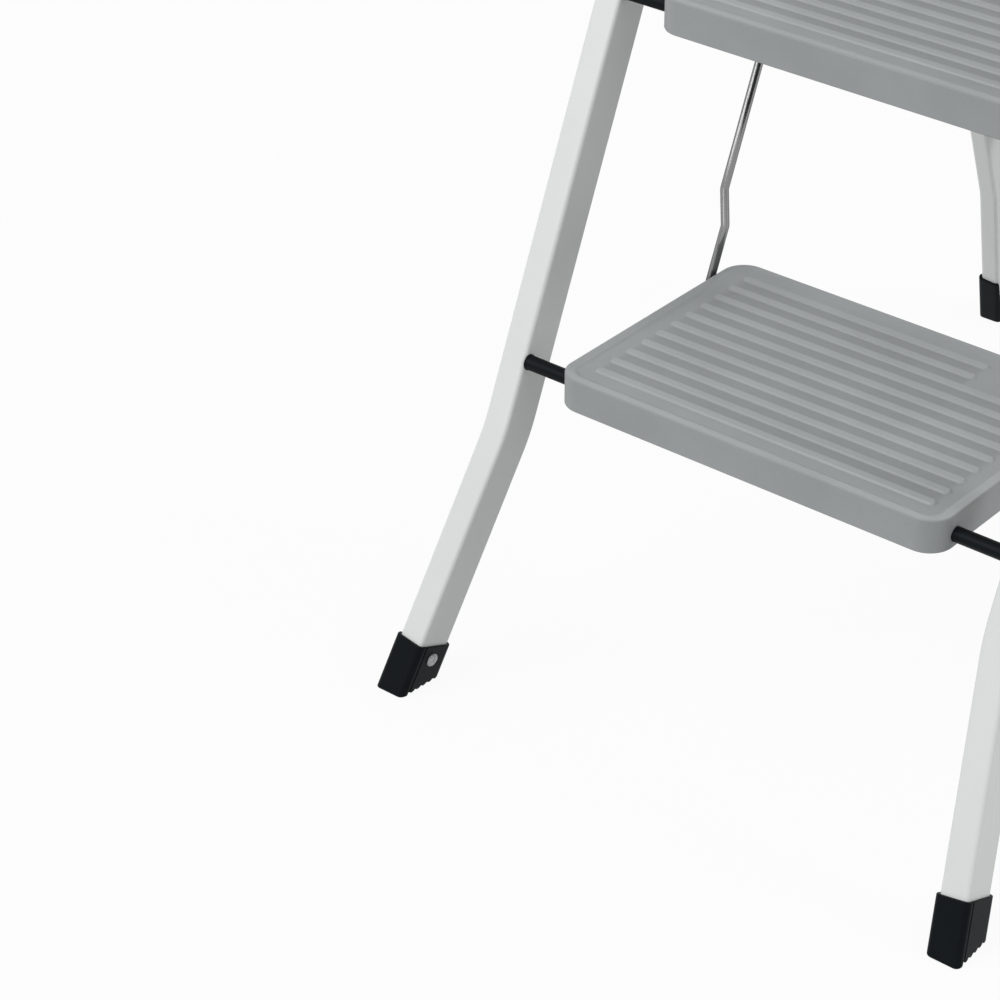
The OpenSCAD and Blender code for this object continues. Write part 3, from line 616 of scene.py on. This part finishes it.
def wire(path, r, closed=False):
    """Round wire along a 3-D path, its frame carried along without twist."""
    n = 20
    path = [np.asarray(p, float) for p in path]
    count = len(path)
    tangents = []
    for k in range(count):
        a = path[k - 1] if (k > 0 or closed) else path[k]
        b = path[(k + 1) % count] if (k < count - 1 or closed) else path[k]
        tangents.append((b - a) / np.linalg.norm(b - a))
    side = np.cross(tangents[0], (1.0, 0.0, 0.0))
    if np.linalg.norm(side) < 0.1:
        side = np.cross(tangents[0], (0.0, 1.0, 0.0))
    loops = []
    for p, t in zip(path, tangents):
        side = side - t * np.dot(side, t)
        side /= np.linalg.norm(side)
        other = np.cross(t, side)
        loops.append(np.array([p + r * (math.cos(2 * pi * k / n) * side
                                        + math.sin(2 * pi * k / n) * other) for k in range(n)]))
    return rings(loops, closed=closed, cap=not closed)


WIRE_BEND_R = 7.0


def link(i):
    """Right-hand link from tread i's rear pin to the next one's."""
    low, top = np.array(pin_place(i)), np.array(pin_place(i + 1))
    length = np.linalg.norm(top - low)
    along = (top - low) / length
    ring_r = AXLE_R + RUN_FIT + WIRE_R
    run = [(EYE_IN, ring_r), (EYE_IN, JOG_V), (EYE_OUT, JOG_V + JOG_L), (EYE_OUT, length - ring_r)]
    path = [low + along * v + np.array([x, 0, 0]) for x, v in run]
    parts = [wire(rounded(path, WIRE_BEND_R), WIRE_R)]
    for centre, x in ((low, EYE_IN), (top, EYE_OUT)):
        ring = [centre + np.array([x, ring_r * math.cos(a), ring_r * math.sin(a)])
                for a in np.arange(36) * 2 * pi / 36]
        parts.append(wire(ring, WIRE_R, closed=True))
    return join(parts)


for i, name, body in ((0, "lower", "lower_links"), (1, "upper", "upper_links")):
    part = link(i)
    build(name + "_link_wire_right", *part, body, WIRE, "wire_steel", [name + "_link_right"],
          weighted=False)
    build(name + "_link_wire_left", *mirrored(part), body, WIRE, "wire_steel",
          [name + "_link_left"], weighted=False)


# ---- crossbars of the rear frame ----

for name, y, z in (("support_bar", BAR_Y, BAR_Z), ("rear_brace", BRACE_Y, BRACE_Z)):
    seam = [(-REAR_IN, BAR_R + 1.3), (0.5 - REAR_IN, BAR_R + 1.0), (1.1 - REAR_IN, BAR_R + 0.45),
            (2.0 - REAR_IN, BAR_R + 0.08), (3.2 - REAR_IN, BAR_R)]
    bar = seam + [(x, BAR_R) for x in (-90, 0, 90)] + [(-t, r) for t, r in reversed(seam)]
    build(name + "_tube", *lathe(bar, (0, y, z), n=48), "rear_frame", PAINT, "frame_paint", [name],
          sharp=50)


# ---- parts that keep the solids' outline, with their edges rounded ----

SOFT_MERGE_M, SOFT_ANGLE, SOFT_FLAT = 1e-6, 35, 1.0


def softened(node, body, material, width):
    """A copy of a solid's mesh with its edges rounded to width."""
    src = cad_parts[node]
    mesh = src.data.copy()
    bm = bmesh.new()
    bm.from_mesh(mesh)
    bmesh.ops.remove_doubles(bm, verts=bm.verts, dist=SOFT_MERGE_M)
    bmesh.ops.dissolve_limit(bm, angle_limit=rad(SOFT_FLAT), verts=bm.verts, edges=bm.edges)
    bm.to_mesh(mesh)
    bm.free()
    mesh.materials.clear()
    mesh.materials.append(material)
    obj = bpy.data.objects.new(node + "_moulded", mesh)
    bpy.context.scene.collection.objects.link(obj)
    obj.matrix_world = src.matrix_world.copy()
    for poly in mesh.polygons:
        poly.use_smooth = True
    mod = obj.modifiers.new("round", "BEVEL")
    mod.width = width * MM
    mod.segments = 3
    mod.limit_method = "ANGLE"
    mod.angle_limit = rad(SOFT_ANGLE)
    mod.use_clamp_overlap = True
    mod.harden_normals = True
    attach(obj, body)
    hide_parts(node)


for side in ("left", "right"):
    softened("hinge_bracket_" + side, "front_frame", BLACK, 1.1)
    softened("hinge_pin_" + side, "front_frame", STEEL, 0.4)
    softened("rear_plug_" + side, "rear_frame", BLACK, 0.6)
    softened("platform_clip_" + side, "platform", BLACK, 0.8)
softened("bracket_rivets", "front_frame", STEEL, 0.5)
softened("clip_screws", "platform", STEEL, 0.3)


# ---- foot caps and their rivets ----

SOLE_PITCH, SOLE_GROOVE, SOLE_COUNT = 5.8, 1.6, 5   # the count is odd: a groove in the middle
FRONT_CORNER_R, BACK_CORNER_R, PANEL_IN = 4.2, 4.8, 0.25
RIVET_V, RIVET_R, RIVET_HEAD = 28.5, 5.0, 1.5
SNUG = 0.03                        # how far a cap's lip stands off its tube


def foot_outline(w, d):
    """Half outline of a cap from the front's middle to the back's, (p, q): a rounded front corner,
    a narrow groove behind it, and a side panel set a little deeper."""
    h, f, b = w / 2 + FOOT_T, -FOOT_T, d + FOOT_T
    r = FRONT_CORNER_R
    pts = [(0.0, f), (h - r - 3, f)]
    pts += [(h - r + r * math.sin(rad(a)), f + r - r * math.cos(rad(a))) for a in range(0, 91, 15)]
    pts += [(h, f + 4.9), (h - 0.12, f + 5.3), (h - 0.62, f + 5.6), (h - 0.95, f + 6.0),
            (h - 1.0, f + 6.4), (h - 0.8, f + 6.8), (h - 0.4, f + 7.2), (h - PANEL_IN, f + 7.7)]
    q = f + 8.3
    step = SOLE_PITCH * 0.92 / 8
    while q < b - 5.2:
        pts.append((h - PANEL_IN, q))
        q += step
    r = BACK_CORNER_R
    pts += [(h - PANEL_IN - r + r * math.cos(rad(a)), b - r + r * math.sin(rad(a)))
            for a in range(0, 91, 15)]
    pts.append((0.0, b))
    return pts


def foot(x, w, d, splay, bend_v, lean, place, top_v, drop):
    """Cap of a right-hand leg, top_v high; drop lowers the top of its inner side wall."""
    half = foot_outline(w, d)
    right = half[1:-1]
    outline = np.array([half[0]] + right + [half[-1]] + [(-p, q) for p, q in reversed(right)])
    core_p, core_q = w / 2 - TUBE_R, (TUBE_R, d - TUBE_R)
    c = np.stack([np.clip(outline[:, 0], -core_p, core_p), np.clip(outline[:, 1], *core_q)], -1)
    way = outline - c
    way /= np.linalg.norm(way, axis=1)[:, None]
    inner = c + way * (TUBE_R + SNUG)
    s = math.tan(rad(splay))
    u = (outline[:, 1] - d / 2) / (SOLE_PITCH * math.cos(lean))
    lift = np.where(np.abs(u) < SOLE_COUNT / 2,
                    SOLE_GROOVE * (1 - np.abs(np.sin(pi * u))) / math.cos(lean), 0)
    low_side = (outline[:, 0] < -(w / 2 - 2)) & (outline[:, 1] > 0.2) & (outline[:, 1] < d - 1.0)

    def loop(t, v):
        """The outline, t of the way from outside to the tube's surface, at heights v."""
        at = outline * (1 - t) + inner * t
        return place(np.stack([x + at[:, 0] + (bend_v - v) * s, at[:, 1], v], -1))

    def top(t, sink):
        p = outline[:, 0] * (1 - t) + inner[:, 0] * t
        v = top_v + p * math.sin(rad(splay)) * math.cos(rad(splay)) - sink
        return loop(t, np.where(low_side, v - drop, v))

    def sole(t, rise):
        """The same, rise above the level floor, which the leg's own heights cross at a slant."""
        q = outline[:, 1] * (1 - t) + inner[:, 1] * t
        return loop(t, q * math.tan(lean) + lift + rise)

    pocket = np.full(len(outline), POCKET_V + 0.5)
    loops = [loop(1.0, pocket), top(1.0, 0.6), top(0.93, 0.2), top(0.7, 0.0), top(0.35, 0.0),
             top(0.12, 0.15), top(0.0, 0.65), sole(0.0, 0.8), sole(0.04, 0.35), sole(0.13, 0.1),
             sole(0.28, 0.0)]
    verts, faces = rings(loops, cap=False)
    n, k = len(outline), len(right)
    base = (len(loops) - 1) * n
    for low in (0, base):
        faces.append((low, low + 1, low + n - 1))
        for j in range(1, k):
            faces.append((low + j, low + j + 1, low + n - j - 1, low + n - j))
        faces.append((low + k, low + k + 1, low + k + 2))
    return verts, faces


def foot_rivet(x, w, d, splay, bend_v, place):
    """Rivet head on the inner face of a right-hand cap."""
    profile = [(0.9, 4.2), (0.5, 4.9), (0.0, RIVET_R), (-0.5, 4.9), (-1.0, 4.45), (-1.35, 3.6),
               (-RIVET_HEAD, 2.4), (-RIVET_HEAD, 1.7), (-1.25, 1.3), (-1.1, 0.6)]
    v, f = lathe(profile, (0, 0, 0), n=40)
    a = rad(splay)
    turn = np.array([[math.cos(a), 0, -math.sin(a)], [0, 1, 0], [math.sin(a), 0, math.cos(a)]])
    at = np.array([x + (bend_v - RIVET_V) * math.tan(a) - w / 2 - FOOT_T, d / 2, RIVET_V])
    return place(v @ turn.T + at), f


# frame, body, leg, lean, place, the cap's height and how much lower its inner side's top is
FEET = [("front", "front_frame", (FRONT_X, FRONT_W, FRONT_D, FRONT_SPLAY, FRONT_BEND), FL, on_front,
         40.5, 0.0),
        ("rear", "rear_frame", (REAR_X, REAR_W, REAR_D, REAR_SPLAY, REAR_BEND), -RL, on_rear,
         47.5, 23.5)]
for which, body, leg, lean, place, top_v, drop in FEET:
    cap = foot(*leg, lean, place, top_v, drop)
    build(which + "_foot_cap_right", *cap, body, RUBBER, "foot_rubber", [which + "_foot_right"], sharp=40)
    build(which + "_foot_cap_left", *mirrored(cap), body, RUBBER, "foot_rubber",
          [which + "_foot_left"], sharp=40)
    head = foot_rivet(*leg, place)
    build(which + "_rivet_heads", *join([head, mirrored(head)]), body, RIVET, "bright_steel",
          [which + "_foot_rivets"], sharp=45)


# ---- camera ----

AZ, EL = rad(39.5395), rad(31.8148)
back = Vector((math.sin(AZ) * math.cos(EL), -math.cos(AZ) * math.cos(EL), math.sin(EL)))
right = Vector((math.cos(AZ), math.sin(AZ), 0.0))
up = back.cross(right)
data = bpy.data.cameras.new("camera")
data.sensor_width = 36.0
data.lens = 3.2137941 * data.sensor_width
data.clip_start, data.clip_end = 0.05, 100.0
camera = bpy.data.objects.new("camera", data)
bpy.context.scene.collection.objects.link(camera)
AIM = Vector((0.0, axle(0)[0] - AXLE_BACK, STEP_TOPS[0])) * MM
BACK, LEFT, DOWN = 2.0341118, 0.1510027, 0.0336684   # metres from the aim, along the camera's axes
where = AIM + back * BACK - right * LEFT - up * DOWN
camera.matrix_world = Matrix.Translation(where) @ Matrix((right, up, back)).transposed().to_4x4()
bpy.context.scene.camera = camera


# ---- light, backdrop and floor ----

def area_light(name, place, target, size, power):
    lamp = bpy.data.lights.new(name, "AREA")
    lamp.shape = "SQUARE"
    lamp.size = size
    lamp.energy = power
    obj = bpy.data.objects.new(name, lamp)
    bpy.context.scene.collection.objects.link(obj)
    obj.location = place
    obj.rotation_euler = (Vector(target) - Vector(place)).to_track_quat("-Z", "Y").to_euler()


area_light("key", (-2.16, -4.68, 4.28), (0, 0, 0.5), 4.3, 194.0)
area_light("right", (5.2, 1.9, 4.0), (0, -0.2, 0.3), 2.1, 92.0)

world = bpy.data.worlds.new("world")
bpy.context.scene.world = world
world.use_nodes = True
nt = world.node_tree
nt.nodes.clear()
out = nt.nodes.new("ShaderNodeOutputWorld")
seen = nt.nodes.new("ShaderNodeBackground")
lit = nt.nodes.new("ShaderNodeBackground")
pick = nt.nodes.new("ShaderNodeMixShader")
ray = nt.nodes.new("ShaderNodeLightPath")
camera_or_glossy = nt.nodes.new("ShaderNodeMath")
camera_or_glossy.operation = "MAXIMUM"
seen_ray = nt.nodes.new("ShaderNodeMath")
seen_ray.operation = "MAXIMUM"
seen.inputs["Color"].default_value = (0.975, 0.975, 0.975, 1)
lit.inputs["Color"].default_value = (0.98, 0.99, 1.0, 1)
lit.inputs["Strength"].default_value = 0.62
nt.links.new(ray.outputs["Is Camera Ray"], camera_or_glossy.inputs[0])
nt.links.new(ray.outputs["Is Glossy Ray"], camera_or_glossy.inputs[1])
nt.links.new(camera_or_glossy.outputs[0], seen_ray.inputs[0])
nt.links.new(ray.outputs["Is Transmission Ray"], seen_ray.inputs[1])
nt.links.new(seen_ray.outputs[0], pick.inputs[0])
nt.links.new(lit.outputs[0], pick.inputs[1])
nt.links.new(seen.outputs[0], pick.inputs[2])
nt.links.new(pick.outputs[0], out.inputs[0])


def floor_material():
    m = bpy.data.materials.new("floor")
    m.use_nodes = True
    t = m.node_tree
    t.nodes.clear()
    out = t.nodes.new("ShaderNodeOutputMaterial")
    ray = t.nodes.new("ShaderNodeLightPath")
    either = t.nodes.new("ShaderNodeMath")
    either.operation = "MAXIMUM"
    bounce = t.nodes.new("ShaderNodeBsdfDiffuse")
    bounce.inputs["Color"].default_value = (0.42, 0.42, 0.42, 1)
    shade = t.nodes.new("ShaderNodeBsdfDiffuse")
    shade.inputs["Color"].default_value = (0.045, 0.045, 0.045, 1)
    glow = t.nodes.new("ShaderNodeEmission")
    glow.inputs["Strength"].default_value = 0.935
    pale = t.nodes.new("ShaderNodeAddShader")
    pick = t.nodes.new("ShaderNodeMixShader")
    t.links.new(shade.outputs[0], pale.inputs[0])
    t.links.new(glow.outputs[0], pale.inputs[1])
    t.links.new(ray.outputs["Is Camera Ray"], either.inputs[0])
    t.links.new(ray.outputs["Is Glossy Ray"], either.inputs[1])
    t.links.new(either.outputs[0], pick.inputs[0])
    t.links.new(bounce.outputs[0], pick.inputs[1])
    t.links.new(pale.outputs[0], pick.inputs[2])
    t.links.new(pick.outputs[0], out.inputs[0])
    return m


FLOOR_HALF, FLOOR_DROP = 12, 0.0003
mesh = bpy.data.meshes.new("floor")
mesh.from_pydata([(x, y, -FLOOR_DROP) for x, y in ((-FLOOR_HALF, -FLOOR_HALF), (FLOOR_HALF, -FLOOR_HALF),
                                                   (FLOOR_HALF, FLOOR_HALF), (-FLOOR_HALF, FLOOR_HALF))],
                 [], [(0, 1, 2, 3)])
mesh.materials.append(floor_material())
ground = bpy.data.objects.new("floor", mesh)
bpy.context.scene.collection.objects.link(ground)

bpy.context.scene.view_settings.view_transform = "Standard"
